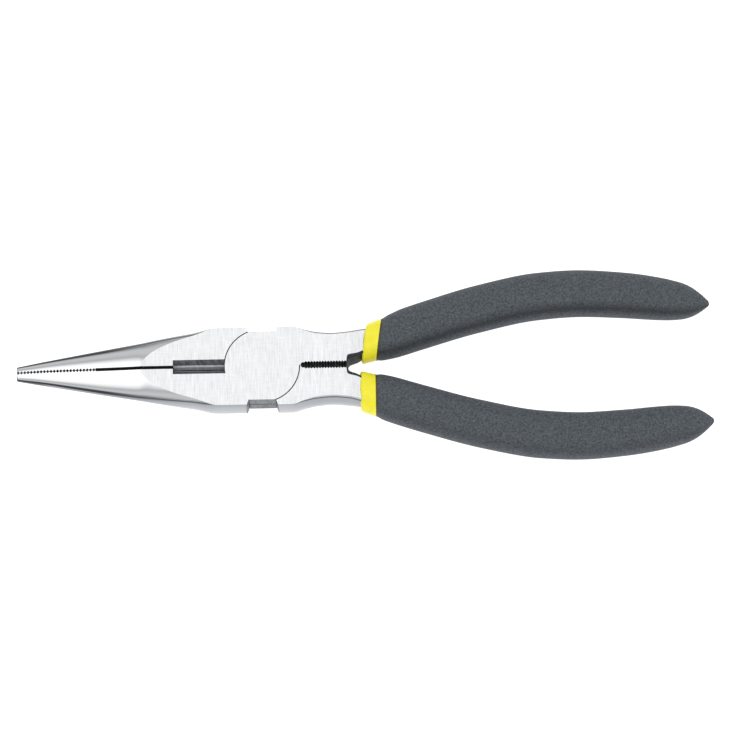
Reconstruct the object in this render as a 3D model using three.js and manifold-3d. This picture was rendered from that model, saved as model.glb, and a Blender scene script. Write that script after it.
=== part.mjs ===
// Long nose pliers with a wire cutter and a crimping slot, 200 mm size. Two forged levers of the same shape
// are lapped on a flush rivet, and each has a grip dipped in two layers. Millimetres. +Z is the pivot axis,
// +X runs back to the handle ends, and the origin is on the pivot axis in the joint's flat back face.
// The jaws are closed.
import * as THREE from "three";
import { mergeVertices } from "three/addons/utils/BufferGeometryUtils.js";
import Module from "manifold-3d";

const wasm = await Module();
wasm.setup();

// ---- driving dimensions ----
const THICKNESS = 10.2; // joint, between its two ground faces
const MID = THICKNESS / 2; // height of the lap plane
const TIP_X = -70.5;
const HANDLE_END_X = 129.1;

const DISC_R = 10.7; // joint disc of each lever
const DISC_FLAT = 10.1; // from the pivot to each of the disc's two flats
const RECESS_CLEARANCE = 0.15; // radial, between a disc and the other lever's recess
const LAP_GAP = 0.1; // between the two discs
const SHOULDER_Y = 11.5; // half width across the stop shoulders, at the ground faces
const NOTCH_HALF_ANGLE = 21.4; // degrees; the shoulders meet when the pliers are open by twice this

const RIVET_R = 4;
const RIVET_HEAD_R = 5.2;
const RIVET_HEAD_DEPTH = 1.2;
const RIVET_CLEARANCE = 0.05; // radial

const FLAT_APEX_X = -35; // front end of the ground faces
const NOSE_ROUNDNESS = 1.5; // radius of the nose's top and bottom, per mm of its half width
const NOSE_BULGE = 0.5; // of the nose's side walls at the shoulders

// Rows of teeth. Tip and valley are distances from the plane where the two levers meet.
const TEETH = { count: 24, pitch: 0.95, tip: 0.04, valley: 0.55 };
const CRIMP_TEETH = { count: 15, pitch: 0.8, tip: 0.78, valley: 1.15 };
const CRIMP_FRONT_X = 11.1;
const CRIMP_END_X = 24.2;
const LEVER_GAP = 0.05; // from each lever to the plane where they meet, between joint and crimping slot
const JAW_RELIEF = 0.47; // half the gap between the jaws, from the teeth to the cutter

// The cutter's window runs back to the joint discs. Its half widths are at the faces, on both sides of a
// narrow ledge, and at the cutting edges, which meet in the lap plane. Heights are from that plane.
const CUTTER = { frontX: -25.5, mouth: 2.08, throat: 1.4, ledge: 0.9, edge: 0.06, ledgeHeight: 2 };
const LEDGE_RISE = 0.15; // towards the window's wall

const COLLAR_FRONT_X = 28.65; // front end of the inner, visible layer of a grip
const COLLAR_LENGTH = 4.8;
const COLLAR_GAP = 0.2; // between the collar's back edge and the outer layer
const SLEEVE_FRONT_X = COLLAR_FRONT_X + COLLAR_LENGTH;
const SLEEVE_WALL = 1.3;
const FIT_GAP = 0.15; // around a tang, and between the two layers
const TANG_END_X = 119;
// Each grip's dip lines: their offset along the handle, and their lean back towards the outer side.
const FRONT_DIP = { offset: 0.6, lean: 0.14 };
const BACK_DIP = { offset: -0.6, lean: 0 };

const ROUND_SEGMENTS = 64;
const OVERSHOOT = 2; // how far a cutting tool runs past what it cuts

// ---- profiles along the tool ----
// A smooth curve y(x) through knots [x, y], made of cubic Hermite pieces that never overshoot.
function profile(knots) {
  const steps = knots.slice(1).map(([x, y], i) => (y - knots[i][1]) / (x - knots[i][0]));
  const slopes = knots.map((_, i) => {
    const before = steps[i - 1] ?? steps[i];
    const after = steps[i] ?? steps[i - 1];
    return before * after <= 0 ? 0 : (2 * before * after) / (before + after);
  });
  return (x) => {
    const i = THREE.MathUtils.clamp(knots.findLastIndex(([start]) => start <= x), 0, knots.length - 2);
    const [x0, y0] = knots[i];
    const [x1, y1] = knots[i + 1];
    const width = x1 - x0;
    const t = THREE.MathUtils.clamp((x - x0) / width, 0, 1);
    const u = 1 - t;
    const ends = y0 * (1 + 2 * t) * u * u + y1 * (3 - 2 * t) * t * t;
    return ends + (slopes[i] * u - slopes[i + 1] * t) * t * u * width;
  };
}

const NECK_X = 3; // where the shank's and the nose's lofts overlap the joint disc

const noseHalfWidth = profile([
  [TIP_X, 2.2], [-62, 3.72], [-55.3, 4.97], [-40.9, 7.6], [-26.6, 9.97], [-20, 10.93],
  [-14, SHOULDER_Y + NOSE_BULGE], [-NECK_X, SHOULDER_Y + NOSE_BULGE],
]);
const noseCorner = profile([[TIP_X, 5.5], [-42, 10], [-NECK_X, 11]]); // how tightly the top turns down
// Half the nose's thickness at its middle. Behind FLAT_APEX_X it is what the ground faces cut off.
const noseHeight = profile([
  [TIP_X, 1.5], [-62, 2.8], [-53, 3.5], [-44, 4.15], [-38, 4.72], [FLAT_APEX_X, MID], [-30.9, 6],
  [-24.6, 7.2], [-17.4, 8.5], [-12.2, 10], [-NECK_X, 10],
]);

// The shank runs on into a tang inside the grip. These are its edges at the faces, how far its sides bulge
// beyond them half way down, and its half thickness.
const shankOuter = profile([
  [NECK_X, SHOULDER_Y], [8.5, SHOULDER_Y], [12.5, 10.2], [15.6, 9.35], [20, 9], [25, 9.4], [28.6, 10.1],
  [36.7, 11.4], [45.3, 13.8], [62.5, 18.6], [79.8, 22], [91, 22.6], [103, 21.9], [TANG_END_X, 19.8],
]);
const shankInner = profile([
  [NECK_X, LEVER_GAP], [CRIMP_END_X - 0.1, LEVER_GAP], [CRIMP_END_X, 1.5], [CRIMP_END_X + 0.15, 2.5],
  [24.9, 2.95], [26, 3.2], [27.3, 3.5], [28.6, 4.1], [36.7, 7.5], [45.3, 10.5], [62.5, 15.6], [79.8, 19],
  [91, 19.7], [103, 19.1], [TANG_END_X, 17.2],
]);
const outerBulge = profile([[NECK_X, 0.35], [8.5, 0.5], [12, 1], [16, 1.35], [TANG_END_X, 1.3]]);
const innerBulge = profile([
  [NECK_X, 0.02], [CRIMP_END_X - 0.1, 0.02], [CRIMP_END_X, 1.4], [CRIMP_END_X + 0.15, 2.35],
  [CRIMP_END_X + 0.4, 1.9], [24.9, 1.4], [25.5, 1.1], [28.6, 0.9], [36.7, 1.3], [TANG_END_X, 1.3],
]);
const shankHalfThickness = profile([
  [NECK_X, MID], [24.5, MID], [28.6, 4.3], [32.5, 3.4], [60, 2.9], [TANG_END_X, 2.6],
]);

const gripCentre = profile([
  [27, 6.5], [36.7, 9.35], [45.3, 12.1], [62.5, 17.1], [79.8, 20.5], [91, 21.15], [103, 20.5],
  [119.4, 18.55], [HANDLE_END_X, 17.4],
]);
const gripHalfWidth = profile([
  [SLEEVE_FRONT_X, 6.05], [SLEEVE_FRONT_X + 1.6, 6.55], [40, 6.85], [60, 6.95], [95, 6.75], [108.5, 6.5],
  [115.7, 6.1], [120.9, 5.35], [122.9, 4.75], [124.9, 3.8], [128.6, 0.97], [HANDLE_END_X, 0.4],
]);
const gripHalfThickness = profile([
  [SLEEVE_FRONT_X, 5.3], [SLEEVE_FRONT_X + 1.6, 5.5], [40, 5.6], [108.5, 5.6], [120.9, 4.7], [124.9, 3.3],
  [128.6, 0.97], [HANDLE_END_X, 0.4],
]);
const collarHalfWidth = profile([
  [COLLAR_FRONT_X, 5.3], [COLLAR_FRONT_X + 0.9, 5.85], [SLEEVE_FRONT_X, 6.05],
]);
const collarHalfThickness = profile([
  [COLLAR_FRONT_X, 4.8], [COLLAR_FRONT_X + 0.9, 5.15], [SLEEVE_FRONT_X, 5.3],
]);

// ---- solids ----
function solidOf(geometry) {
  geometry.deleteAttribute("normal");
  geometry.deleteAttribute("uv");
  const merged = mergeVertices(geometry, 1e-4);
  return new wasm.Manifold(new wasm.Mesh({
    numProp: 3,
    vertProperties: merged.attributes.position.array,
    triVerts: new Uint32Array(merged.index.array),
  }));
}

function geometryOf(solid) {
  const mesh = solid.getMesh();
  const geometry = new THREE.BufferGeometry();
  geometry.setAttribute("position", new THREE.BufferAttribute(mesh.vertProperties, 3));
  geometry.setIndex(new THREE.BufferAttribute(mesh.triVerts, 1));
  geometry.computeVertexNormals();
  return geometry;
}

// Joins section loops of equal length into a closed body. A loop is a list of [x, y, z], clockwise from -X.
function loft(loops) {
  const n = loops[0].length;
  const last = (loops.length - 1) * n;
  const faces = [];
  const flat = (loop) => loop.map(([, y, z]) => new THREE.Vector2(y, z));
  const cap = (loop) => THREE.ShapeUtils.triangulateShape(flat(loop), []);
  for (let i = 0; i < last; i += n) {
    for (let j = 0; j < n; j++) {
      const k = (j + 1) % n;
      faces.push(i + j, i + k, i + n + j, i + k, i + n + k, i + n + j);
    }
  }
  for (const [a, b, c] of cap(loops[0])) faces.push(a, c, b);
  for (const [a, b, c] of cap(loops.at(-1))) faces.push(last + a, last + b, last + c);
  const geometry = new THREE.BufferGeometry();
  geometry.setAttribute("position", new THREE.Float32BufferAttribute(loops.flat(2), 3));
  geometry.setIndex(faces);
  return solidOf(geometry);
}

// An outline in X and Y, through the whole thickness.
function prism(outline) {
  const shape = new THREE.Shape(outline.map(([x, y]) => new THREE.Vector2(x, y)));
  const options = { depth: THICKNESS + 2 * OVERSHOOT, bevelEnabled: false };
  return solidOf(new THREE.ExtrudeGeometry(shape, options).translate(0, 0, -OVERSHOOT));
}

function turned(outline) {
  const points = outline.map(([r, z]) => new THREE.Vector2(r, z));
  return solidOf(new THREE.LatheGeometry(points, ROUND_SEGMENTS).rotateX(Math.PI / 2));
}

function spread(from, to, count) {
  return Array.from({ length: count + 1 }, (_, i) => from + ((to - from) * i) / count);
}

// Points of a row of V-shaped teeth from x0 on, on the side y > 0 or y < 0.
function teethEdge(x0, { count, pitch, tip, valley }, side) {
  return spread(0, count - 1, count - 1).flatMap((i) => [
    [x0 + i * pitch, side * tip],
    [x0 + (i + 0.5) * pitch, side * valley],
  ]);
}

// ---- lever: jaw ----
const NOSE_ARC_STEPS = 10;
const NOSE_STATIONS = [
  TIP_X, TIP_X + 0.4, ...spread(-68, FLAT_APEX_X, 16), -34.8, -34.4, -33.7, -32.5, -31,
  ...spread(-29.5, -13.5, 9), -11, -NECK_X,
];

// One jaw's section. An arc over the top turns down steeply where it nears the half width, and the bottom is
// the same. Behind FLAT_APEX_X the ground faces cut the arc off.
function jawLoop(x) {
  const halfWidth = noseHalfWidth(x);
  const radius = NOSE_ROUNDNESS * halfWidth;
  const corner = noseCorner(x);
  const height = noseHeight(x);
  const ground = Math.acos(1 - Math.max(0, height - MID) / radius);
  const start = Math.max(ground, TEETH.tip / 2 / radius);
  const end = Math.acos(1 - height / radius);
  const arc = spread(start, end, NOSE_ARC_STEPS).map((t) => {
    const across = NOSE_ROUNDNESS * Math.sin(t);
    const y = (-halfWidth * across) / (1 + across ** corner) ** (1 / corner);
    return [x, y, height - radius * (1 - Math.cos(t))];
  });
  const top = arc[0][2];
  const upper = [[x, 0, top], ...arc];
  const lower = upper.slice(0, -1).toReversed().map(([, y, z]) => [x, y, -z]);
  return [...upper, ...lower].map(([, y, z]) => [x, y, MID + z]);
}

function jawGap() {
  const teethEnd = TIP_X + TEETH.count * TEETH.pitch;
  return prism([
    [TIP_X - OVERSHOOT, OVERSHOOT],
    [TIP_X - OVERSHOOT, -TEETH.tip],
    ...teethEdge(TIP_X, TEETH, -1),
    [teethEnd, -TEETH.tip],
    [teethEnd, -JAW_RELIEF],
    [CUTTER.frontX, -JAW_RELIEF],
    [CUTTER.frontX, -CUTTER.edge],
    [0, -CUTTER.edge],
    [0, OVERSHOOT],
  ]);
}

// Its section stays the same when it is turned over, like the levers.
function cutterWindow() {
  const { frontX, mouth, throat, ledge, edge, ledgeHeight } = CUTTER;
  const side = [
    [mouth, -MID - OVERSHOOT],
    [mouth, -MID],
    [edge, 0],
    [ledge, ledgeHeight],
    [throat, ledgeHeight + LEDGE_RISE],
    [mouth, MID],
    [mouth, MID + OVERSHOOT],
  ];
  const section = [...side, ...side.map(([y, dz]) => [-y, -dz])];
  return loft([frontX, -DISC_FLAT].map((x) => section.map(([y, dz]) => [x, y, MID + dz])));
}

function jaw() {
  return loft(NOSE_STATIONS.map(jawLoop)).subtract(jawGap()).subtract(cutterWindow());
}

// ---- lever: shank and tang ----
const SIDE_HEIGHTS = [-1, -0.95, -0.88, -0.6, 0, 0.6, 0.88, 0.95, 1]; // fractions of the half thickness
const OUTER_EDGE = { share: 0.25, power: 14 };
const INNER_EDGE = { share: 0.9, power: 30 };
const NECK_STATIONS = [NECK_X, 6.5, 8.5, 10, 11.2, 12.5, 14, 15.6, 17.5, 19.5, 21.5, 23, CRIMP_END_X - 0.1];
const TANG_STATIONS = [
  CRIMP_END_X, CRIMP_END_X + 0.15, CRIMP_END_X + 0.4, 24.9, 25.5, 26.5, 27.5, ...spread(28.6, 42, 6),
  ...spread(46, TANG_END_X, 18),
];

// A side wall's arc: a shallow bulge, with a share of it in a tight rounding of the edges.
function sideArc(x, edge, bulge, halfThickness, { share, power }) {
  return SIDE_HEIGHTS.map((u) => [
    x,
    edge + bulge * (1 - (1 - share) * u ** 2 - share * u ** power),
    MID + Math.sign(bulge) * halfThickness * u,
  ]);
}

// `grow` enlarges the section all round, for the space a grip leaves for the tang.
function shankLoop(x, grow = 0) {
  const halfThickness = shankHalfThickness(x) + grow;
  return [
    ...sideArc(x, shankOuter(x), outerBulge(x) + grow, halfThickness, OUTER_EDGE),
    ...sideArc(x, shankInner(x), -innerBulge(x) - grow, halfThickness, INNER_EDGE),
  ];
}

function crimpSlot() {
  const teethStart = CRIMP_END_X - CRIMP_TEETH.count * CRIMP_TEETH.pitch;
  return prism([
    [CRIMP_FRONT_X, 0],
    [CRIMP_END_X, 0],
    [CRIMP_END_X, CRIMP_TEETH.tip],
    ...teethEdge(teethStart, CRIMP_TEETH, 1).toReversed(),
    [CRIMP_FRONT_X + 0.4, CRIMP_TEETH.tip],
    [CRIMP_FRONT_X, CRIMP_TEETH.tip / 2],
  ]);
}

function shank() {
  return loft([...NECK_STATIONS, ...TANG_STATIONS].map((x) => shankLoop(x))).subtract(crimpSlot());
}

// ---- lever: joint ----
function disc() {
  const reach = Math.asin(DISC_FLAT / DISC_R);
  const shape = new THREE.Shape();
  shape.absarc(0, 0, DISC_R, -reach, reach, false);
  shape.absarc(0, 0, DISC_R, Math.PI - reach, Math.PI + reach, false);
  const depth = MID - LAP_GAP / 2;
  const options = { depth, bevelEnabled: false, curveSegments: ROUND_SEGMENTS * 0.4 };
  return solidOf(new THREE.ExtrudeGeometry(shape, options).translate(0, 0, THICKNESS - depth));
}

// Room for the other lever's disc.
function recess() {
  const radius = DISC_R + RECESS_CLEARANCE;
  const top = MID + LAP_GAP / 2;
  return turned([[0, -OVERSHOOT], [radius, -OVERSHOOT], [radius, top], [0, top]]);
}

// A wedge on each side of the pivot. Its sides leave the stop shoulders.
function notches() {
  const reach = 2 * SHOULDER_Y;
  const halfWidth = reach * Math.tan(THREE.MathUtils.degToRad(NOTCH_HALF_ANGLE));
  const above = prism([[0, 0], [halfWidth, reach], [-halfWidth, reach]]);
  const below = prism([[0, 0], [-halfWidth, -reach], [halfWidth, -reach]]);
  return above.add(below);
}

function rivetHole() {
  const radius = RIVET_R + RIVET_CLEARANCE;
  const headRadius = RIVET_HEAD_R + RIVET_CLEARANCE;
  const flare = (OVERSHOOT * (RIVET_HEAD_R - RIVET_R)) / RIVET_HEAD_DEPTH;
  return turned([
    [0, -OVERSHOOT],
    [radius, -OVERSHOOT],
    [radius, THICKNESS - RIVET_HEAD_DEPTH],
    [headRadius, THICKNESS],
    [headRadius + flare, THICKNESS + OVERSHOOT],
    [0, THICKNESS + OVERSHOOT],
  ]);
}

function lever() {
  const arms = jaw().add(shank()).subtract(notches());
  return arms.add(disc()).subtract(recess()).subtract(rivetHole());
}

// Countersunk at both ends and ground flush with the faces.
function rivet() {
  return turned([
    [0, 0],
    [RIVET_HEAD_R, 0],
    [RIVET_R, RIVET_HEAD_DEPTH],
    [RIVET_R, THICKNESS - RIVET_HEAD_DEPTH],
    [RIVET_HEAD_R, THICKNESS],
    [0, THICKNESS],
  ]);
}

// ---- grips ----
const GRIP_STEPS = 24;
const GRIP_SQUARENESS = 2.3; // superellipse exponent of a grip's section
const GRIP_STATIONS = [...spread(SLEEVE_FRONT_X + 2.8, 107, 19), 111.5, 115.7, 118.5, 120.9];
const LINER_END_STATIONS = [122, 122.9, 123.7, 124.3];
const SLEEVE_END_STATIONS = [122, 122.9, 123.9, 124.9, 126.5, 128, 128.6, HANDLE_END_X];

// A section of a grip, leaning back by `lean` on its outer side. Offset is its place along the handle.
function gripLoop(x, halfWidth, halfThickness, { offset, lean } = { offset: 0, lean: 0 }) {
  const power = 2 / GRIP_SQUARENESS;
  const bent = (value) => Math.sign(value) * Math.abs(value) ** power;
  return spread(0, 2 * Math.PI, GRIP_STEPS).slice(0, -1).map((t) => {
    const dy = halfWidth * bent(Math.cos(t));
    const station = x + offset;
    return [station + lean * dy, gripCentre(station) + dy, MID + halfThickness * bent(Math.sin(t))];
  });
}

// The inner layer's outside where the outer layer covers it, enlarged by `grow` for the outer layer's bore.
function linerLoops(dip, grow) {
  const thinner = grow - SLEEVE_WALL;
  const loop = (x, place) => gripLoop(x, gripHalfWidth(x) + thinner, gripHalfThickness(x) + thinner, place);
  return [
    loop(SLEEVE_FRONT_X - COLLAR_GAP, dip),
    ...[...GRIP_STATIONS, ...LINER_END_STATIONS].map((x) => loop(x)),
    gripLoop(125 + grow, 1.6 + grow, 1.4 + grow),
  ];
}

function gripLiner(dip) {
  const lip = [COLLAR_FRONT_X, COLLAR_FRONT_X + 0.3, COLLAR_FRONT_X + 0.9];
  const collar = [...lip, ...spread(31, SLEEVE_FRONT_X - COLLAR_GAP, 2)];
  const collarLoops = collar.map((x) => gripLoop(x, collarHalfWidth(x), collarHalfThickness(x), dip));
  const tangSpace = TANG_STATIONS.map((x) => shankLoop(x, FIT_GAP));
  tangSpace.push(tangSpace.at(-1).map(([x, y, z]) => [x + FIT_GAP, y, z]));
  return loft([...collarLoops, ...linerLoops(dip, 0)]).subtract(loft(tangSpace));
}

function gripSleeve(dip) {
  const loop = (x, place) => gripLoop(x, gripHalfWidth(x), gripHalfThickness(x), place);
  const lip = [SLEEVE_FRONT_X, SLEEVE_FRONT_X + 0.5, SLEEVE_FRONT_X + 1.2].map((x) => loop(x, dip));
  const body = [...GRIP_STATIONS, ...SLEEVE_END_STATIONS].map((x) => loop(x));
  return loft([...lip, ...body]).subtract(loft(linerLoops(dip, FIT_GAP)));
}

// ---- assembly ----
const steel = new THREE.MeshStandardMaterial({ color: 0xd4d6d9, roughness: 0.3, metalness: 1 });
const rivetSteel = new THREE.MeshStandardMaterial({ color: 0xc6c9cc, roughness: 0.35, metalness: 1 });
const yellowVinyl = new THREE.MeshStandardMaterial({ color: 0xf2e83a, roughness: 0.4, metalness: 0 });
const greyVinyl = new THREE.MeshStandardMaterial({ color: 0x4a4f56, roughness: 0.85, metalness: 0 });

const leverSolid = lever();

function piece(name, solid, material) {
  const mesh = new THREE.Mesh(geometryOf(solid), material);
  mesh.name = name;
  return mesh;
}

// One lever with its grip: the lever whose joint disc is in front, at z > MID.
function half(prefix, dip) {
  const group = new THREE.Group();
  group.add(
    piece(`${prefix}_lever`, leverSolid, steel),
    piece(`${prefix}_grip_liner`, gripLiner(dip), yellowVinyl),
    piece(`${prefix}_grip_sleeve`, gripSleeve(dip), greyVinyl),
  );
  return group;
}

const front = half("front", FRONT_DIP);
const back = half("back", BACK_DIP);
back.rotation.x = Math.PI; // turned over about the tool's long axis
back.position.z = THICKNESS;

const pliers = new THREE.Group();
pliers.add(front, back, piece("pivot_rivet", rivet(), rivetSteel));

export default pliers;
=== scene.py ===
"""Long nose pliers on a pale floor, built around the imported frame.

Lengths are in mm, apart from those with _M in their name, which are in metres.
"""

import math

import bmesh
import bpy
from mathutils import Matrix, Vector


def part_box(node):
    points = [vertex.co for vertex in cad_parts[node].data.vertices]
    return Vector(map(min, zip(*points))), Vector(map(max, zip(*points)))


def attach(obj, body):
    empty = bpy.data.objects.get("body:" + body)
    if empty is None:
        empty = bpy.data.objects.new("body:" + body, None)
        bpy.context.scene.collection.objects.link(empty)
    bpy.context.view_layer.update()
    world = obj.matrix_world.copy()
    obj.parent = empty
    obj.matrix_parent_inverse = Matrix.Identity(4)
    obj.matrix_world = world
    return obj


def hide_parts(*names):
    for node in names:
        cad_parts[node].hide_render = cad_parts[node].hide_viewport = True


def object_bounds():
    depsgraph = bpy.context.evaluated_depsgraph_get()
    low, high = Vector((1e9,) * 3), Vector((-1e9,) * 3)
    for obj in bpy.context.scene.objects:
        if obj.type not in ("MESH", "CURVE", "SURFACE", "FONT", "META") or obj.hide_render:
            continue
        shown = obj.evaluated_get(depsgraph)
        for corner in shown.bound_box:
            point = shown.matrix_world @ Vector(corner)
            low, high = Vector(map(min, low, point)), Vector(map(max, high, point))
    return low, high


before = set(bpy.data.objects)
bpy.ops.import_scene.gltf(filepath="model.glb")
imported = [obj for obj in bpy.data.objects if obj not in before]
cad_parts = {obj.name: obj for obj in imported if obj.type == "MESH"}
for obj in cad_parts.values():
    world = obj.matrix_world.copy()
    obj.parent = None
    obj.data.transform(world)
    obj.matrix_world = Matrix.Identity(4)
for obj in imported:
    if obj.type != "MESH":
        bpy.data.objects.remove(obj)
cad_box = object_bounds()

# ---- driving dimensions, in mm, in the row frame ----
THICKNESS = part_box("pivot_rivet")[1].z * 1000
MID = THICKNESS / 2
TIP_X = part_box("front_lever")[0].x * 1000
HANDLE_END_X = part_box("front_grip_sleeve")[1].x * 1000
TANG_END_X = 119

DISC_R = 10.7
DISC_FLAT = 10.1
RECESS_CLEARANCE = 0.15
LAP_GAP = 0.1
SHOULDER_Y = 11.5
NOTCH_HALF_ANGLE = 21.4

RIVET_R = 4
RIVET_HEAD_R = 5.2
RIVET_HEAD_DEPTH = 1.2
RIVET_CLEARANCE = 0.01

FLAT_APEX_X = -35
NOSE_ROUNDNESS = 1.5
NOSE_BULGE = 0.5
TIP_CHAMFER = 0.2
TIP_SHRINK = 0.06

TEETH = {"count": 24, "pitch": 0.95, "tip": 0.04, "valley": 0.55}
CRIMP_TEETH = {"count": 15, "pitch": 0.8, "tip": 0.78, "valley": 1.15}
CRIMP_FRONT_X = 11.1
CRIMP_END_X = 24.2
CRIMP_LEAD_IN = 0.4
LEVER_GAP = 0.05
JAW_RELIEF = 0.47
CUTTER = {
    "front": -25.5, "mouth": 2.08, "throat": 1.2, "ledge": 0.7, "edge": 0.015, "land": 0.2,
    "throat_height": 2.15, "ledge_height": 2, "land_height": 0.5,
}

COLLAR_FRONT_X = 28.65
COLLAR_LENGTH = 4.8
COLLAR_LIP = 0.9
SLEEVE_FRONT_X = COLLAR_FRONT_X + COLLAR_LENGTH
SLEEVE_LIP = 0.15
# The last entry is the length of the collar's end that is coloured with painted shade for the groove.
DIP_LINE = {"groove": 0.01, "slant": 0.005, "gap_shade": 0.45}
FRONT_DIP = {"offset": 0.6, "lean": 0.14}
BACK_DIP = {"offset": -0.6, "lean": 0}

NECK_X = 3
LAP_CHAMFER = 0.35
FACE_CHAMFER = 0.08
OVERSHOOT = 2
NEAR = 0.01


# ---- profiles along the tool ----
def profile(*knots):
    """A smooth curve y(x) through knots (x, y): cubic Hermite pieces that never overshoot."""
    xs = [k[0] for k in knots]
    ys = [k[1] for k in knots]
    steps = [(ys[i + 1] - ys[i]) / (xs[i + 1] - xs[i]) for i in range(len(knots) - 1)]
    slopes = []
    for i in range(len(knots)):
        before = steps[max(i - 1, 0)]
        after = steps[min(i, len(steps) - 1)]
        slopes.append(0 if before * after <= 0 else 2 * before * after / (before + after))

    def value(x):
        i = max(0, min(len(knots) - 2, sum(start <= x for start in xs) - 1))
        width = xs[i + 1] - xs[i]
        t = max(0, min(1, (x - xs[i]) / width))
        u = 1 - t
        ends = ys[i] * (1 + 2 * t) * u * u + ys[i + 1] * (3 - 2 * t) * t * t
        return ends + (slopes[i] * u - slopes[i + 1] * t) * t * u * width

    return value


nose_half_width = profile(
    (TIP_X, 2.2), (-62, 3.72), (-55.3, 4.97), (-40.9, 7.6), (-26.6, 9.97), (-20, 10.93),
    (-14, SHOULDER_Y + NOSE_BULGE), (-NECK_X, SHOULDER_Y + NOSE_BULGE),
)
nose_corner = profile((TIP_X, 5.5), (-42, 10), (-NECK_X, 11))
nose_height = profile(
    (TIP_X, 1.5), (-62, 2.8), (-53, 3.5), (-44, 4.15), (-38, 4.72), (FLAT_APEX_X, MID), (-30.9, 6),
    (-24.6, 7.2), (-17.4, 8.5), (-12.2, 10), (-NECK_X, 10),
)
shank_outer = profile(
    (NECK_X, SHOULDER_Y), (8.5, SHOULDER_Y), (12.5, 10.2), (15.6, 9.35), (20, 9), (25, 9.4), (28.6, 10.1),
    (36.7, 11.4), (45.3, 13.8), (62.5, 18.6), (79.8, 22), (91, 22.6), (103, 21.9), (TANG_END_X, 19.8),
)
shank_inner = profile(
    (NECK_X, LEVER_GAP), (CRIMP_END_X - 0.1, LEVER_GAP), (CRIMP_END_X, 1.5), (CRIMP_END_X + 0.15, 2.5),
    (24.9, 2.95), (26, 3.2), (27.3, 3.5), (28.6, 4.1), (36.7, 7.5), (45.3, 10.5), (62.5, 15.6), (79.8, 19),
    (91, 19.7), (103, 19.1), (TANG_END_X, 17.2),
)
outer_bulge = profile((NECK_X, 0.35), (8.5, 0.5), (12, 1), (16, 1.35), (TANG_END_X, 1.3))
inner_bulge = profile(
    (NECK_X, 0.02), (CRIMP_END_X - 0.1, 0.02), (CRIMP_END_X, 1.4), (CRIMP_END_X + 0.15, 2.35),
    (CRIMP_END_X + 0.4, 1.9), (24.9, 1.4), (25.5, 1.1), (28.6, 0.9), (36.7, 1.3), (TANG_END_X, 1.3),
)
shank_half_thickness = profile(
    (NECK_X, MID), (24.5, MID), (28.6, 4.3), (32.5, 3.4), (60, 2.9), (TANG_END_X, 2.6),
)
grip_centre = profile(
    (27, 6.5), (36.7, 9.35), (45.3, 12.1), (62.5, 17.1), (79.8, 20.5), (91, 21.15), (103, 20.5),
    (119.4, 18.55), (HANDLE_END_X, 17.4),
)
grip_half_width = profile(
    (SLEEVE_FRONT_X, 6.05), (SLEEVE_FRONT_X + 1.6, 6.55), (40, 6.85), (60, 6.95), (95, 6.75), (108.5, 6.5),
    (115.7, 6.1), (120.9, 5.35), (122.9, 4.75), (124.9, 3.8), (128.6, 0.97), (HANDLE_END_X, 0.4),
)
grip_half_thickness = profile(
    (SLEEVE_FRONT_X, 5.3), (SLEEVE_FRONT_X + 1.6, 5.5), (40, 5.6), (108.5, 5.6), (120.9, 4.7), (124.9, 3.3),
    (128.6, 0.97), (HANDLE_END_X, 0.4),
)
collar_half_width = profile(
    (COLLAR_FRONT_X, 5.3), (COLLAR_FRONT_X + COLLAR_LIP, 5.85), (SLEEVE_FRONT_X, 6.05),
)
collar_half_thickness = profile(
    (COLLAR_FRONT_X, 4.8), (COLLAR_FRONT_X + COLLAR_LIP, 5.15), (SLEEVE_FRONT_X, 5.3),
)


def spread(start, end, count):
    """count + 1 even steps from start to end, both included."""
    return [start + (end - start) * i / count for i in range(count + 1)]


# ---- meshes ----
SHARP_ANGLE = math.radians(32)
STRAIGHT_ANGLE = 0.2
MERGE_M = 5e-6
NEEDLE_M = 2e-6


def build(name, vertices, faces, materials, material_indices):
    """A mesh object from points in mm, with its faces turned outwards."""
    mesh = bpy.data.meshes.new(name)
    mesh.from_pydata([Vector(v) / 1000 for v in vertices], [], faces)
    for material in materials:
        mesh.materials.append(material)
    mesh.polygons.foreach_set("material_index", material_indices)
    editable = bmesh.new()
    editable.from_mesh(mesh)
    bmesh.ops.remove_doubles(editable, verts=editable.verts, dist=1e-7)
    bmesh.ops.recalc_face_normals(editable, faces=editable.faces)
    editable.to_mesh(mesh)
    editable.free()
    piece = bpy.data.objects.new(name, mesh)
    bpy.context.scene.collection.objects.link(piece)
    return piece


def loft(name, loops, materials, material_of=lambda i, j: 0, end_material=0):
    """Joins section loops of equal length. material_of(i, j) is for the face from loop i and point j on."""
    n = len(loops[0])
    vertices = [point for loop in loops for point in loop]
    faces = []
    indices = []
    for i in range(len(loops) - 1):
        for j in range(n):
            k = (j + 1) % n
            faces.append((i * n + j, i * n + k, (i + 1) * n + k, (i + 1) * n + j))
            indices.append(material_of(i, j))
    last = (len(loops) - 1) * n
    faces.append(tuple(range(n)))
    faces.append(tuple(range(last, last + n)))
    indices += [end_material, end_material]
    return build(name, vertices, faces, materials, indices)


def prism(name, outline, materials, z0=-OVERSHOOT, z1=THICKNESS + OVERSHOOT):
    """An outline in X and Y, extruded from z0 to z1."""
    n = len(outline)
    vertices = [(x, y, z) for z in (z0, z1) for x, y in outline]
    faces = [(j, (j + 1) % n, n + (j + 1) % n, n + j) for j in range(n)]
    faces += [tuple(range(n)), tuple(range(n, 2 * n))]
    return build(name, vertices, faces, materials, [0] * len(faces))


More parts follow.
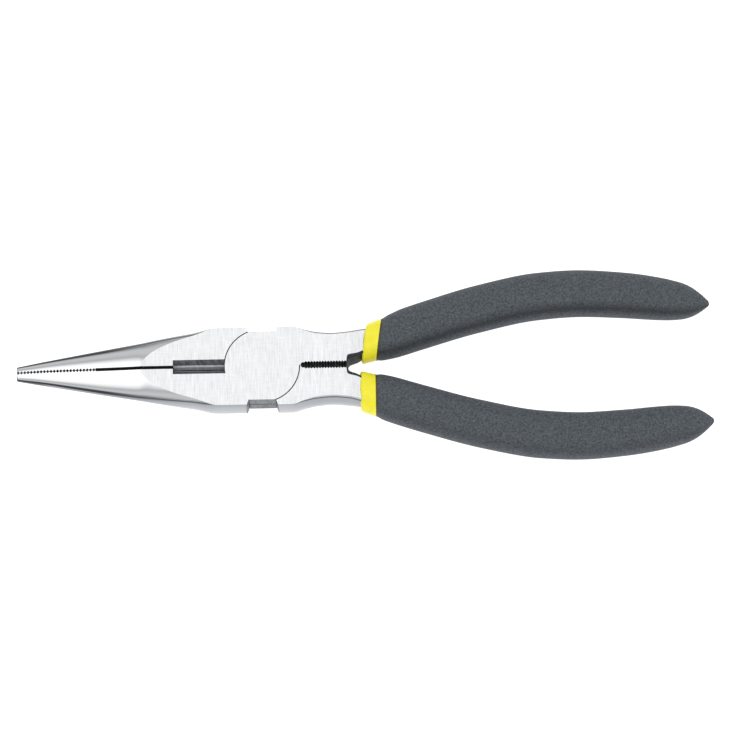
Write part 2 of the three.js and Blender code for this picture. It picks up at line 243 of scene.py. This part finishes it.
def turned(name, outline, materials, segments=128):
    """Turns an outline of (radius, z) points, whose ends are on the axis, about the pivot axis."""
    rings = outline[1:-1]
    m = len(rings)
    vertices = [(0, 0, outline[0][1]), (0, 0, outline[-1][1])]
    for i in range(segments):
        angle = 2 * math.pi * i / segments
        vertices += [(r * math.cos(angle), r * math.sin(angle), z) for r, z in rings]
    faces = []
    for i in range(segments):
        a = 2 + i * m
        b = 2 + (i + 1) % segments * m
        faces += [(0, a, b), (1, a + m - 1, b + m - 1)]
        faces += [(a + j, a + j + 1, b + j + 1, b + j) for j in range(m - 1)]
    return build(name, vertices, faces, materials, [0] * len(faces))


def combine(piece, operation, other):
    """Joins or cuts piece with other, which is used up. Cut faces keep the cutting object's material."""
    modifier = piece.modifiers.new("combine", "BOOLEAN")
    modifier.operation = operation
    modifier.solver = "EXACT"
    modifier.material_mode = "TRANSFER"
    modifier.object = other
    bpy.context.view_layer.update()
    evaluated = piece.evaluated_get(bpy.context.evaluated_depsgraph_get())
    made = bpy.data.meshes.new_from_object(evaluated)
    piece.modifiers.clear()
    old = piece.data
    piece.data = made
    bpy.data.meshes.remove(old)
    bpy.data.objects.remove(other)
    return piece


def smooth(piece):
    """Cleans the cut mesh up and shades it smooth, apart from sharp edges and where two materials meet."""
    editable = bmesh.new()
    editable.from_mesh(piece.data)
    bmesh.ops.remove_doubles(editable, verts=editable.verts, dist=MERGE_M)
    on_edges = [
        vertex for vertex in editable.verts
        if len(vertex.link_edges) == 2 and vertex.calc_edge_angle(1) < STRAIGHT_ANGLE
    ]
    bmesh.ops.dissolve_verts(editable, verts=on_edges)
    bmesh.ops.dissolve_degenerate(editable, edges=editable.edges, dist=NEEDLE_M)
    for face in editable.faces:
        face.smooth = True
    for edge in editable.edges:
        pair = edge.link_faces
        one_material = len(pair) == 2 and pair[0].material_index == pair[1].material_index
        edge.smooth = one_material and edge.calc_face_angle(math.pi) < SHARP_ANGLE
    editable.to_mesh(piece.data)
    editable.free()
    return piece


def arc(radius, start, end, count):
    """Points of an arc about the origin."""
    return [(radius * math.cos(t), radius * math.sin(t)) for t in spread(start, end, count)]


def teeth_edge(x0, teeth, side):
    """A row's tips and valleys from x0 on, at positive y for side 1 and at negative y for side -1."""
    points = []
    for i in range(teeth["count"]):
        points.append((x0 + i * teeth["pitch"], side * teeth["tip"]))
        points.append((x0 + (i + 0.5) * teeth["pitch"], side * teeth["valley"]))
    return points


# ---- lever ----
NOSE_ARC_STEPS = 36
NOSE_STATIONS = [
    TIP_X, TIP_X + 0.1, TIP_X + 0.2, TIP_X + 0.5, *spread(-69, FLAT_APEX_X, 40),
    -34.95, -34.85, -34.7, -34.4, -34, -33.5, -33, *spread(-32.3, -13.4, 36), -12.6, -11, -9, -6, -NECK_X,
]


def jaw_loop(x):
    """One jaw's section: an arc over the top that turns down at the sides, cut off by the ground face."""
    half_width = nose_half_width(x)
    radius = NOSE_ROUNDNESS * half_width
    corner = nose_corner(x)
    height = nose_height(x)
    start = max(math.acos(1 - max(0, height - MID) / radius), TEETH["tip"] / 2 / radius)
    shrink = min(1, 1 - TIP_SHRINK + TIP_SHRINK * math.sqrt(max(0, x - TIP_X) / TIP_CHAMFER))
    upper = []
    for t in spread(start, math.acos(1 - height / radius), NOSE_ARC_STEPS):
        across = NOSE_ROUNDNESS * math.sin(t)
        y = half_width * across / (1 + across**corner) ** (1 / corner)
        upper.append((-y * shrink, (height - radius * (1 - math.cos(t))) * shrink))
    upper.insert(0, (0, upper[0][1]))
    return [(x, y, MID + z) for y, z in upper] + [(x, y, MID - z) for y, z in reversed(upper[:-1])]


def jaw_gap(materials):
    """Cuts a jaw back to its teeth, the parallel gap behind them and the cutting edges."""
    teeth_end = TIP_X + TEETH["count"] * TEETH["pitch"]
    return prism("jaw_gap", [
        (TIP_X - OVERSHOOT, OVERSHOOT), (TIP_X - OVERSHOOT, -TEETH["tip"]), *teeth_edge(TIP_X, TEETH, -1),
        (teeth_end, -TEETH["tip"]), (teeth_end, -JAW_RELIEF), (CUTTER["front"], -JAW_RELIEF),
        (CUTTER["front"], -CUTTER["edge"]), (0, -CUTTER["edge"]), (0, OVERSHOOT),
    ], materials)


def cutter_window(materials):
    """Cuts the cutter's window. Its section is the same when it is turned over.

    Each cutting edge, in the lap plane, has a bevel on one side of it, and a land, a slope, a ledge and a
    wall on the other.
    """
    mouth, edge = CUTTER["mouth"], CUTTER["edge"]
    side = [
        (mouth, -MID - OVERSHOOT), (mouth, -MID), (edge, 0), (edge + CUTTER["land"], CUTTER["land_height"]),
        (CUTTER["ledge"], CUTTER["ledge_height"]), (CUTTER["throat"], CUTTER["throat_height"]),
        (mouth, MID), (mouth, MID + OVERSHOOT),
    ]
    section = side + [(-y, -dz) for y, dz in side]
    loops = [[(x, y, MID + dz) for y, dz in section] for x in (CUTTER["front"], -DISC_FLAT)]
    return loft("cutter_window", loops, materials)


SIDE_STEPS = 36
OUTER_EDGE = (0.25, 14)
INNER_EDGE = (0.9, 30)
NECK_STATIONS = [NECK_X, *spread(6.5, CRIMP_END_X - 0.1, 34)]
TANG_STATIONS = [
    CRIMP_END_X - 0.05, CRIMP_END_X, CRIMP_END_X + 0.07, *spread(CRIMP_END_X + 0.15, 25.4, 9),
    *spread(25.6, 42, 30), *spread(43, TANG_END_X, 50),
]


def side_arc(x, edge, bulge, half_thickness, rounding):
    """A side wall's arc. rounding is the bulge's share in the tight edges, and that share's power."""
    share, power = rounding
    turn = math.copysign(1, bulge)
    points = []
    for t in spread(-math.pi / 2, math.pi / 2, SIDE_STEPS):
        u = math.sin(t)
        inset = (1 - share) * u**2 + share * u**power
        points.append((x, edge + bulge * (1 - inset), MID + turn * half_thickness * u))
    return points


def shank_loop(x, grow=0):
    """A section of the neck or the tang, grown all round."""
    h = shank_half_thickness(x) + grow
    return [
        *side_arc(x, shank_outer(x), outer_bulge(x) + grow, h, OUTER_EDGE),
        *side_arc(x, shank_inner(x), -inner_bulge(x) - grow, h, INNER_EDGE),
    ]


def crimp_slot(materials):
    """Cuts the slot behind the joint, with its teeth."""
    start = CRIMP_END_X - CRIMP_TEETH["count"] * CRIMP_TEETH["pitch"]
    return prism("crimp_slot", [
        (CRIMP_FRONT_X, 0), (CRIMP_END_X, 0), (CRIMP_END_X, CRIMP_TEETH["tip"]),
        *reversed(teeth_edge(start, CRIMP_TEETH, 1)),
        (CRIMP_FRONT_X + CRIMP_LEAD_IN, CRIMP_TEETH["tip"]), (CRIMP_FRONT_X, CRIMP_TEETH["tip"] / 2),
    ], materials)


def disc(materials):
    """The joint disc in the upper half, with a flat on each side of the tool's axis."""
    low = MID + LAP_GAP / 2
    layers = (
        (low, LAP_CHAMFER), (low + LAP_CHAMFER, 0),
        (THICKNESS - FACE_CHAMFER, 0), (THICKNESS, FACE_CHAMFER),
    )
    loops = []
    for z, inset in layers:
        radius = DISC_R - inset
        reach = math.asin((DISC_FLAT - inset) / radius)
        outline = arc(radius, -reach, reach, 60) + arc(radius, math.pi - reach, math.pi + reach, 60)
        loops.append([(x, y, z) for x, y in outline])
    return loft("disc", loops, materials)


def recess(materials):
    """Cuts the room for the other lever's disc in the lower half."""
    radius = DISC_R + RECESS_CLEARANCE
    top = MID + LAP_GAP / 2
    return turned("recess", [
        (0, -OVERSHOOT), (radius + FACE_CHAMFER + OVERSHOOT, -OVERSHOOT), (radius, FACE_CHAMFER),
        (radius, top), (0, top),
    ], materials, 180)


def notch(materials, side):
    """Cuts a stop notch on the side of positive (1) or negative (-1) y."""
    reach = 2 * SHOULDER_Y
    half = reach * math.tan(math.radians(NOTCH_HALF_ANGLE))
    return prism("notch", [(0, 0), (half, side * reach), (-half, side * reach)], materials)


def rivet_hole(materials):
    """Cuts the bore and its countersink."""
    flare = OVERSHOOT * (RIVET_HEAD_R - RIVET_R) / RIVET_HEAD_DEPTH
    return turned("rivet_hole", [
        (0, -OVERSHOOT), (RIVET_R + RIVET_CLEARANCE, -OVERSHOOT),
        (RIVET_R + RIVET_CLEARANCE, THICKNESS - RIVET_HEAD_DEPTH),
        (RIVET_HEAD_R + RIVET_CLEARANCE, THICKNESS),
        (RIVET_HEAD_R + RIVET_CLEARANCE + flare, THICKNESS + OVERSHOOT), (0, THICKNESS + OVERSHOOT),
    ], materials)


def lever(name):
    """One lever, with its joint disc at z > MID."""
    slots = [ground, polished, machined, raw, bevel]
    flat, shiny, dark = slots.index(ground), slots.index(polished), slots.index(raw)
    jaw_flats = (0, 2 * NOSE_ARC_STEPS + 1)
    jaw = loft(
        name, [jaw_loop(x) for x in NOSE_STATIONS], slots,
        lambda i, j: shiny if jaw_flats[0] < j < jaw_flats[1] else flat, shiny,
    )
    combine(jaw, "DIFFERENCE", jaw_gap([machined]))
    combine(jaw, "DIFFERENCE", cutter_window([cutter]))
    shank_flats = (SIDE_STEPS, 2 * SIDE_STEPS + 1)
    shank = loft(
        "shank", [shank_loop(x) for x in NECK_STATIONS + TANG_STATIONS], slots,
        lambda i, j: flat if j in shank_flats else shiny if j < SIDE_STEPS else dark, dark,
    )
    combine(shank, "DIFFERENCE", crimp_slot([raw]))
    combine(jaw, "UNION", shank)
    for side in (1, -1):
        combine(jaw, "DIFFERENCE", notch([machined], side))
    combine(jaw, "UNION", disc([machined]))
    combine(jaw, "DIFFERENCE", recess([machined]))
    combine(jaw, "DIFFERENCE", rivet_hole([machined]))
    finish_faces(jaw.data)
    return smooth(jaw)


def finish_faces(mesh):
    """Sets the materials that follow from where a face lies: flats, the cutter's faces and the gap.

    The cutter's ledge and slope take the lighter copy of the cutter's steel, which is a painted highlight.
    """
    of_ground, of_cutter, of_highlight, of_raw = (
        mesh.materials.find(material.name) for material in (ground, cutter, bevel, raw)
    )
    for face in mesh.polygons:
        x, y, z = face.center * 1000
        if abs(face.normal.z) > 0.9999 and abs(z - MID) > MID - NEAR:
            face.material_index = of_ground
        if face.material_index == of_cutter:
            below_lap = MID - z
            # The ledge and the slope get the painted highlight.
            if abs(face.normal.z) > 0.9 or CUTTER["land_height"] < below_lap < CUTTER["ledge_height"]:
                face.material_index = of_highlight
            elif 0 < below_lap < CUTTER["land_height"]:
                face.material_index = of_raw
        if abs(y + JAW_RELIEF) < NEAR and abs(face.normal.y) > 0.99 and x < CUTTER["front"]:
            face.material_index = of_raw


# ---- grips ----
GRIP_STEPS = 56
GRIP_SQUARENESS = 2.3
GRIP_STATIONS = spread(SLEEVE_FRONT_X + 1.2, 120.9, 84)
LINER_DEPTH = 1.45
BORE_DEPTH = 1.3
TANG_CLEARANCE = 0.03
TANG_END_GAP = 0.15
DIP_FADE = 8
TIP_ROUND = 1.2
TIP_SLANT = math.radians(37)


def grip_loop(x, half_width, half_thickness, dip):
    """A section of a grip. At the front, dip shifts it along the handle and leans it back outside."""
    t = max(0, min(1, (x - SLEEVE_FRONT_X) / DIP_FADE))
    fade = 1 - t * t * (3 - 2 * t)
    station = x + dip["offset"] * fade
    power = 2 / GRIP_SQUARENESS
    loop = []
    for t in spread(0, 2 * math.pi, GRIP_STEPS)[:-1]:
        c, s = math.cos(t), math.sin(t)
        dy = half_width * math.copysign(abs(c) ** power, c)
        dz = half_thickness * math.copysign(abs(s) ** power, s)
        loop.append((station + dip["lean"] * fade * dy, grip_centre(station) + dy, MID + dz))
    return loop


def lip_loops(x, radius, half_width, half_thickness, dip):
    """A rounded front edge that starts at x."""
    width = half_width(x + radius) - radius
    thickness = half_thickness(x + radius) - radius
    return [
        grip_loop(x + radius - dx, width + dy, thickness + dy, dip)
        for dx, dy in arc(radius, 0, math.pi / 2, 6)
    ]


def under_sleeve(front_x, depth, dip):
    """Sections at a depth below the outer layer's surface, back to a blunt end."""
    stations = [front_x, *GRIP_STATIONS, 122, 122.9, 123.7, 124.3]
    return [
        grip_loop(x, grip_half_width(x) - depth, grip_half_thickness(x) - depth, dip) for x in stations
    ]


def grip_liner(name, dip, yellow, gap_shade):
    """The inner layer. Its front stretch shows as the yellow collar, which ends in a strip of painted shade
    for the dark groove under the grey layer's lip.
    """
    step_x = SLEEVE_FRONT_X - DIP_LINE["groove"]
    stations = spread(COLLAR_FRONT_X + COLLAR_LIP + 0.2, SLEEVE_FRONT_X - DIP_LINE["gap_shade"], 8)
    loops = lip_loops(COLLAR_FRONT_X, COLLAR_LIP, collar_half_width, collar_half_thickness, dip)
    loops += [
        grip_loop(x, collar_half_width(x), collar_half_thickness(x), dip)
        for x in [*stations, step_x - DIP_LINE["slant"]]
    ]
    # From the collar's last stretch on, the faces carry the painted groove shade.
    gap_shade_start = len(loops) - 2
    loops += under_sleeve(step_x, LINER_DEPTH, dip)
    liner = loft(name, loops, [yellow, gap_shade], lambda i, j: 0 if i < gap_shade_start else 1, 1)
    tang = [shank_loop(x, TANG_CLEARANCE) for x in TANG_STATIONS if x > CRIMP_END_X + 0.4]
    tang.append([(x + TANG_END_GAP, y, z) for x, y, z in tang[-1]])
    return smooth(combine(liner, "DIFFERENCE", loft("tang_space", tang, [yellow])))


def grip_sleeve(name, dip, grey):
    """The outer layer, from the bottom of its bore forward to its lip, then back outside to the tip."""
    loops = list(reversed(under_sleeve(SLEEVE_FRONT_X, BORE_DEPTH, dip)))
    loops += lip_loops(SLEEVE_FRONT_X, SLEEVE_LIP, grip_half_width, grip_half_thickness, dip)
    outside = [*GRIP_STATIONS, 121.6, 122.3, 123, 123.7, 124.3, 124.9, 125.5, 126.2, 127, 127.8]
    loops += [grip_loop(x, grip_half_width(x), grip_half_thickness(x), dip) for x in outside]
    for across, along in arc(TIP_ROUND, TIP_SLANT, math.radians(86), 7):
        loops.append(grip_loop(HANDLE_END_X - TIP_ROUND + along, across, across, dip))
    return smooth(loft(name, loops, [grey]))


# ---- materials ----
# The first, third and fourth of these place the steel's painted reflections; the second and the last place
# the grips' painted shade.
REFLECTION_TILT = math.radians(7)
GRIP_SHADE_TILT = math.radians(43)
TIP_DARK_REFLECTION_M = (-0.064, -0.046)
REFLECTION_SOFTENING_M = (-0.045, -0.021)
BACK_GRIP_SHADE_FADE_M = (0.004, -0.004)


def new_material(name, colour, roughness, metallic=0.0):
    """A material, its node tree and its shader node."""
    material = bpy.data.materials.new(name)
    material.use_nodes = True
    shader = material.node_tree.nodes["Principled BSDF"]
    shader.inputs["Base Color"].default_value = (*colour, 1)
    shader.inputs["Roughness"].default_value = roughness
    shader.inputs["Metallic"].default_value = metallic
    return material, material.node_tree, shader


def coordinates(tree, kind):
    """The output of that name of a texture coordinate node."""
    return tree.nodes.new("ShaderNodeTexCoord").outputs[kind]


def axis_of(tree, kind, axis):
    """One axis of the coordinates of that kind."""
    split = tree.nodes.new("ShaderNodeSeparateXYZ")
    tree.links.new(coordinates(tree, kind), split.inputs["Vector"])
    return split.outputs[axis]


def noise(tree, scale, detail=4, stretch=(1, 1, 1), roughness=0.5):
    """Noise in the piece's own metres: scale is in features per metre, and stretch scales each axis."""
    mapping = tree.nodes.new("ShaderNodeMapping")
    mapping.inputs["Scale"].default_value = stretch
    texture = tree.nodes.new("ShaderNodeTexNoise")
    texture.inputs["Scale"].default_value = scale
    texture.inputs["Detail"].default_value = detail
    texture.inputs["Roughness"].default_value = roughness
    tree.links.new(coordinates(tree, "Object"), mapping.inputs["Vector"])
    tree.links.new(mapping.outputs["Vector"], texture.inputs["Vector"])
    return texture.outputs["Fac"]


def ramp(tree, value, *stops):
    """Maps value to a number or colour through stops (position, number or colour)."""
    node = tree.nodes.new("ShaderNodeValToRGB")
    elements = node.color_ramp.elements
    while len(elements) < len(stops):
        elements.new(0.5)
    for element, (position, colour) in zip(elements, stops):
        element.position = position
        element.color = (*colour, 1) if isinstance(colour, tuple) else (colour, colour, colour, 1)
    tree.links.new(value, node.inputs["Fac"])
    return node.outputs["Color"]


def map_range(tree, value, limits, results=(0, 1)):
    """Maps value from the first limit to the second onto the two results, and holds it beyond them."""
    node = tree.nodes.new("ShaderNodeMapRange")
    for name, number in zip(("From Min", "From Max", "To Min", "To Max"), (*limits, *results)):
        node.inputs[name].default_value = number
    tree.links.new(value, node.inputs["Value"])
    return node.outputs["Result"]


def math_node(tree, operation, *values):
    """Applies a math operation to values, each of which is a number or an output."""
    node = tree.nodes.new("ShaderNodeMath")
    node.operation = operation
    for socket, value in zip(node.inputs, values):
        if isinstance(value, (int, float)):
            socket.default_value = value
        else:
            tree.links.new(value, socket)
    return node.outputs["Value"]


def levelness(tree, tilt):
    """1 where a face is level, up or down, and 0 where it is upright; tilt turns that about the X axis."""
    facing = tree.nodes.new("ShaderNodeVectorMath")
    facing.operation = "DOT_PRODUCT"
    facing.inputs[1].default_value = (0, math.sin(tilt), math.cos(tilt))
    tree.links.new(coordinates(tree, "Normal"), facing.inputs[0])
    return math_node(tree, "ABSOLUTE", facing.outputs["Value"])


def mixed(tree, factor, first, second, blend_type="MIX"):
    """Mixes two colours by factor. Each of the three is a number or an output."""
    node = tree.nodes.new("ShaderNodeMixRGB")
    node.blend_type = blend_type
    for socket, value in (("Fac", factor), ("Color1", first), ("Color2", second)):
        if isinstance(value, (int, float)):
            node.inputs[socket].default_value = value if socket == "Fac" else (value, value, value, 1)
        else:
            tree.links.new(value, node.inputs[socket])
    return node.outputs["Color"]


def bump(tree, shader, height, depth_mm):
    """Fine relief on the shader's surface."""
    node = tree.nodes.new("ShaderNodeBump")
    node.inputs["Strength"].default_value = 1
    node.inputs["Distance"].default_value = depth_mm / 1000
    tree.links.new(height, node.inputs["Height"])
    tree.links.new(node.outputs["Normal"], shader.inputs["Normal"])


def ground_steel():
    """The flat faces: bright steel, with grinding streaks across the tool and fainter ones along it."""
    material, tree, shader = new_material("ground_steel", (0.62, 0.62, 0.63), 0.34, 1)
    lengthways = noise(tree, 1, 5, (300, 3600, 3600), 0.65)
    crossways = noise(tree, 1, 5, (4200, 220, 220), 0.65)
    streaks = math_node(tree, "ADD", math_node(tree, "MULTIPLY", lengthways, 0.35), crossways)
    shade = ramp(tree, streaks, (0.5, (0.56, 0.57, 0.58)), (0.85, (0.705, 0.713, 0.725)))
    tree.links.new(shade, shader.inputs["Base Color"])
    tree.links.new(ramp(tree, streaks, (0.45, 0.42), (0.9, 0.28)), shader.inputs["Roughness"])
    bump(tree, shader, streaks, 0.004)
    return material


def polished_steel_painted_reflections():
    """Polished steel with painted reflections in its colour: a painted highlight where it faces up or down,
    painted reflection in a duller grey on the side walls, and painted dark reflections on the edges
    between.

    The painted reflections are tilted a little to one side. The painted dark edges are softer behind the
    nose, and towards the tip the side walls take the same painted dark reflection as the edges.
    """
    # Painted reflection tones: highlight, sloped faces, side walls, dark edges, and the softer walls and
    # edges behind the nose.
    bright, slope = (0.82, 0.82, 0.83), (0.6, 0.605, 0.615)
    wall, edge = (0.225, 0.236, 0.258), (0.032, 0.033, 0.038)
    soft_wall_reflection, soft_edge_reflection = (0.285, 0.298, 0.32), (0.09, 0.093, 0.1)
    material, tree, shader = new_material("polished_steel_painted_reflections", slope, 0.1, 1)
    x = axis_of(tree, "Object", "X")
    # Painted dark reflection on the side walls near the tip.
    tip_dark_reflection = map_range(tree, x, TIP_DARK_REFLECTION_M, (0.48, 0))
    level = math_node(tree, "MAXIMUM", levelness(tree, -REFLECTION_TILT), tip_dark_reflection)
    # The painted reflections, picked by which way the face points.
    nose = ramp(
        tree, level, (0.37, wall), (0.5, edge), (0.745, edge), (0.83, slope), (0.94, slope),
        (0.985, bright),
    )
    rest = ramp(
        tree, level, (0.5, soft_wall_reflection), (0.58, soft_edge_reflection), (0.66, soft_edge_reflection), (0.74, slope), (0.94, slope),
        (0.985, bright),
    )
    # Sharper painted edges on the nose, softer ones behind it.
    shade = mixed(tree, map_range(tree, x, REFLECTION_SOFTENING_M), nose, rest)
    tree.links.new(shade, shader.inputs["Base Color"])
    streaks = noise(tree, 1, 4, (90, 2500, 2500))
    tree.links.new(ramp(tree, streaks, (0.3, 0.08), (0.7, 0.16)), shader.inputs["Roughness"])
    bump(tree, shader, streaks, 0.001)
    return material


def machined_steel():
    """The cut faces of the joint and the teeth, with fine marks."""
    material, tree, shader = new_material("machined_steel", (0.14, 0.148, 0.162), 0.45, 1)
    marks = noise(tree, 1, 5, (1500, 1500, 200))
    tree.links.new(ramp(tree, marks, (0.3, 0.35), (0.7, 0.55)), shader.inputs["Roughness"])
    bump(tree, shader, marks, 0.01)
    return material


def raw_steel():
    """Unpolished forged walls with a dark oxide skin."""
    material, tree, shader = new_material("raw_steel", (0.03, 0.03, 0.035), 0.65)
    pits = noise(tree, 1800, 6)
    shade = ramp(tree, pits, (0.3, (0.01, 0.011, 0.014)), (0.7, (0.042, 0.044, 0.054)))
    tree.links.new(shade, shader.inputs["Base Color"])
    shader.inputs["Specular IOR Level"].default_value = 0.25
    bump(tree, shader, pits, 0.03)
    return material


def cutter_steel(name, dark, light):
    """The cutter's dull grey faces, with marks across the tool."""
    material, tree, shader = new_material(name, dark, 0.6)
    marks = noise(tree, 1, 5, (1300, 700, 300))
    shade = ramp(tree, marks, (0.35, dark), (0.65, light))
    tree.links.new(shade, shader.inputs["Base Color"])
    shader.inputs["Specular IOR Level"].default_value = 0.2
    bump(tree, shader, marks, 0.02)
    return material


def painted_gap_shade():
    """Painted shade: the dark line in the groove where the grey layer ends on the yellow one."""
    material, tree, shader = new_material("painted_gap_shade", (0.05, 0.04, 0.01), 0.6)
    cloud = noise(tree, 900, 3)
    shade = ramp(tree, cloud, (0.3, (0.035, 0.028, 0.008)), (0.7, (0.08, 0.064, 0.015)))
    tree.links.new(shade, shader.inputs["Base Color"])
    bump(tree, shader, cloud, 0.02)
    return material


def yellow_vinyl():
    """Smooth dipped vinyl with faint clouds."""
    material, tree, shader = new_material("yellow_vinyl", (0.8, 0.73, 0.03), 0.35)
    cloud = noise(tree, 400, 3)
    shade = ramp(tree, cloud, (0.3, (0.76, 0.69, 0.02)), (0.7, (0.84, 0.77, 0.04)))
    tree.links.new(shade, shader.inputs["Base Color"])
    shader.inputs["Specular IOR Level"].default_value = 0.3
    bump(tree, shader, cloud, 0.02)
    return material


def grey_vinyl():
    """Matte foamed vinyl with a fine grain, and painted shade along one side, weaker on the back grip."""
    material, tree, shader = new_material("grey_vinyl", (0.07, 0.08, 0.093), 0.75)
    grain = noise(tree, 1900, 5, roughness=0.6)
    shade = ramp(tree, grain, (0.36, (0.026, 0.032, 0.04)), (0.64, (0.085, 0.098, 0.113)))
    # Painted shade: darker along one side, where the surface faces square to the tilted direction.
    dull = ramp(tree, levelness(tree, GRIP_SHADE_TILT), (0.05, 0.42), (0.45, 1.0))
    # The painted shade is weaker on the back grip.
    back_grip_less_shade = map_range(tree, axis_of(tree, "Object", "Y"), BACK_GRIP_SHADE_FADE_M, (0, 0.65))
    dull = mixed(tree, back_grip_less_shade, dull, 1.0)
    tree.links.new(mixed(tree, 1, shade, dull, "MULTIPLY"), shader.inputs["Base Color"])
    bump(tree, shader, grain, 0.06)
    return material


# ---- assembly ----
ground = ground_steel()
polished = polished_steel_painted_reflections()
machined = machined_steel()
raw = raw_steel()
cutter = cutter_steel("cutter_steel", (0.09, 0.096, 0.108), (0.21, 0.22, 0.24))
# A lighter copy of the cutter's steel: a painted highlight on the cutter's ledge and slope.
bevel = cutter_steel("cutter_painted_highlight", (0.4, 0.415, 0.435), (0.56, 0.575, 0.6))
yellow = yellow_vinyl()
# Painted shade for the dark groove where the grey layer meets the yellow collar.
gap_shade = painted_gap_shade()
grey = grey_vinyl()
turn_over = Matrix.Translation((0, 0, THICKNESS / 1000)) @ Matrix.Rotation(math.pi, 4, "X")


def place(piece, body, node):
    """Puts a finished piece on its body, in place of a CAD node."""
    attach(piece, body)
    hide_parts(node)


def half(side, dip, transform):
    """One lever and its grip. The back half is the front one turned over about the tool's long axis."""
    pieces = [
        (lever(f"{side}_forged_lever"), "lever", "forged_steel"),
        (grip_liner(f"{side}_yellow_layer", dip, yellow, gap_shade), "grip_liner", "yellow_vinyl"),
        (grip_sleeve(f"{side}_grey_layer", dip, grey), "grip_sleeve", "grey_vinyl"),
    ]
    for piece, node, slot in pieces:
        piece.data.transform(transform)
        place(piece, f"{side}_half", f"{side}_{node}")


half("front", FRONT_DIP, Matrix.Identity(4))
half("back", BACK_DIP, turn_over)

rivet = turned("flush_rivet", [
    (0, 0), (RIVET_HEAD_R, 0), (RIVET_R, RIVET_HEAD_DEPTH), (RIVET_R, THICKNESS - RIVET_HEAD_DEPTH),
    (RIVET_HEAD_R, THICKNESS), (0, THICKNESS),
], [ground])
place(smooth(rivet), "back_half", "pivot_rivet")

# ---- floor, light and camera ----
FRAME_WIDTH_M = 0.2098
LENS = 180
ELEVATION = math.radians(75)
ROLL = math.radians(1.05)
AIM_M = Vector((0.02948, 0.00098, MID / 1000))


def floor():
    """A pale floor under the part, bright enough to print near white."""
    mesh = bpy.data.meshes.new("floor")
    size = 3
    height = cad_box[0].z
    corners = [(x, y, height) for x, y in ((-size, -size), (size, -size), (size, size), (-size, size))]
    mesh.from_pydata(corners, [], [(0, 1, 2, 3)])
    plane = bpy.data.objects.new("floor", mesh)
    bpy.context.scene.collection.objects.link(plane)
    material, _, shader = new_material("pale_floor", (0.5, 0.5, 0.5), 0.8)
    shader.inputs["Emission Color"].default_value = (1, 1, 1, 1)
    shader.inputs["Emission Strength"].default_value = 0.9
    mesh.materials.append(material)


def studio():
    """Plain light from all sides: dark below, brightest overhead."""
    world = bpy.data.worlds.new("studio")
    bpy.context.scene.world = world
    world.use_nodes = True
    tree = world.node_tree
    glow = ramp(
        tree, axis_of(tree, "Generated", "Z"),
        (0.0, 0.35), (0.1, 0.9), (0.5, 0.88), (0.64, 0.68), (0.77, 1.45),
    )
    tree.links.new(glow, tree.nodes["Background"].inputs["Color"])


def camera():
    """A long lens that looks down steeply, turned a little about its own axis."""
    data = bpy.data.cameras.new("camera")
    data.lens = LENS
    data.sensor_width = 36
    piece = bpy.data.objects.new("camera", data)
    bpy.context.scene.collection.objects.link(piece)
    distance = FRAME_WIDTH_M / 2 / (data.sensor_width / 2 / data.lens)
    back = Vector((0, -math.cos(ELEVATION), math.sin(ELEVATION)))
    turn = (-back).to_track_quat("-Z", "Y").to_matrix().to_4x4()
    roll = Matrix.Rotation(-ROLL, 4, "Z")
    piece.matrix_world = Matrix.Translation(AIM_M + back * distance) @ turn @ roll
    data.clip_start = 0.01
    data.clip_end = 100
    bpy.context.scene.camera = piece


camera()
floor()
studio()
bpy.context.scene.view_settings.view_transform = "Standard"
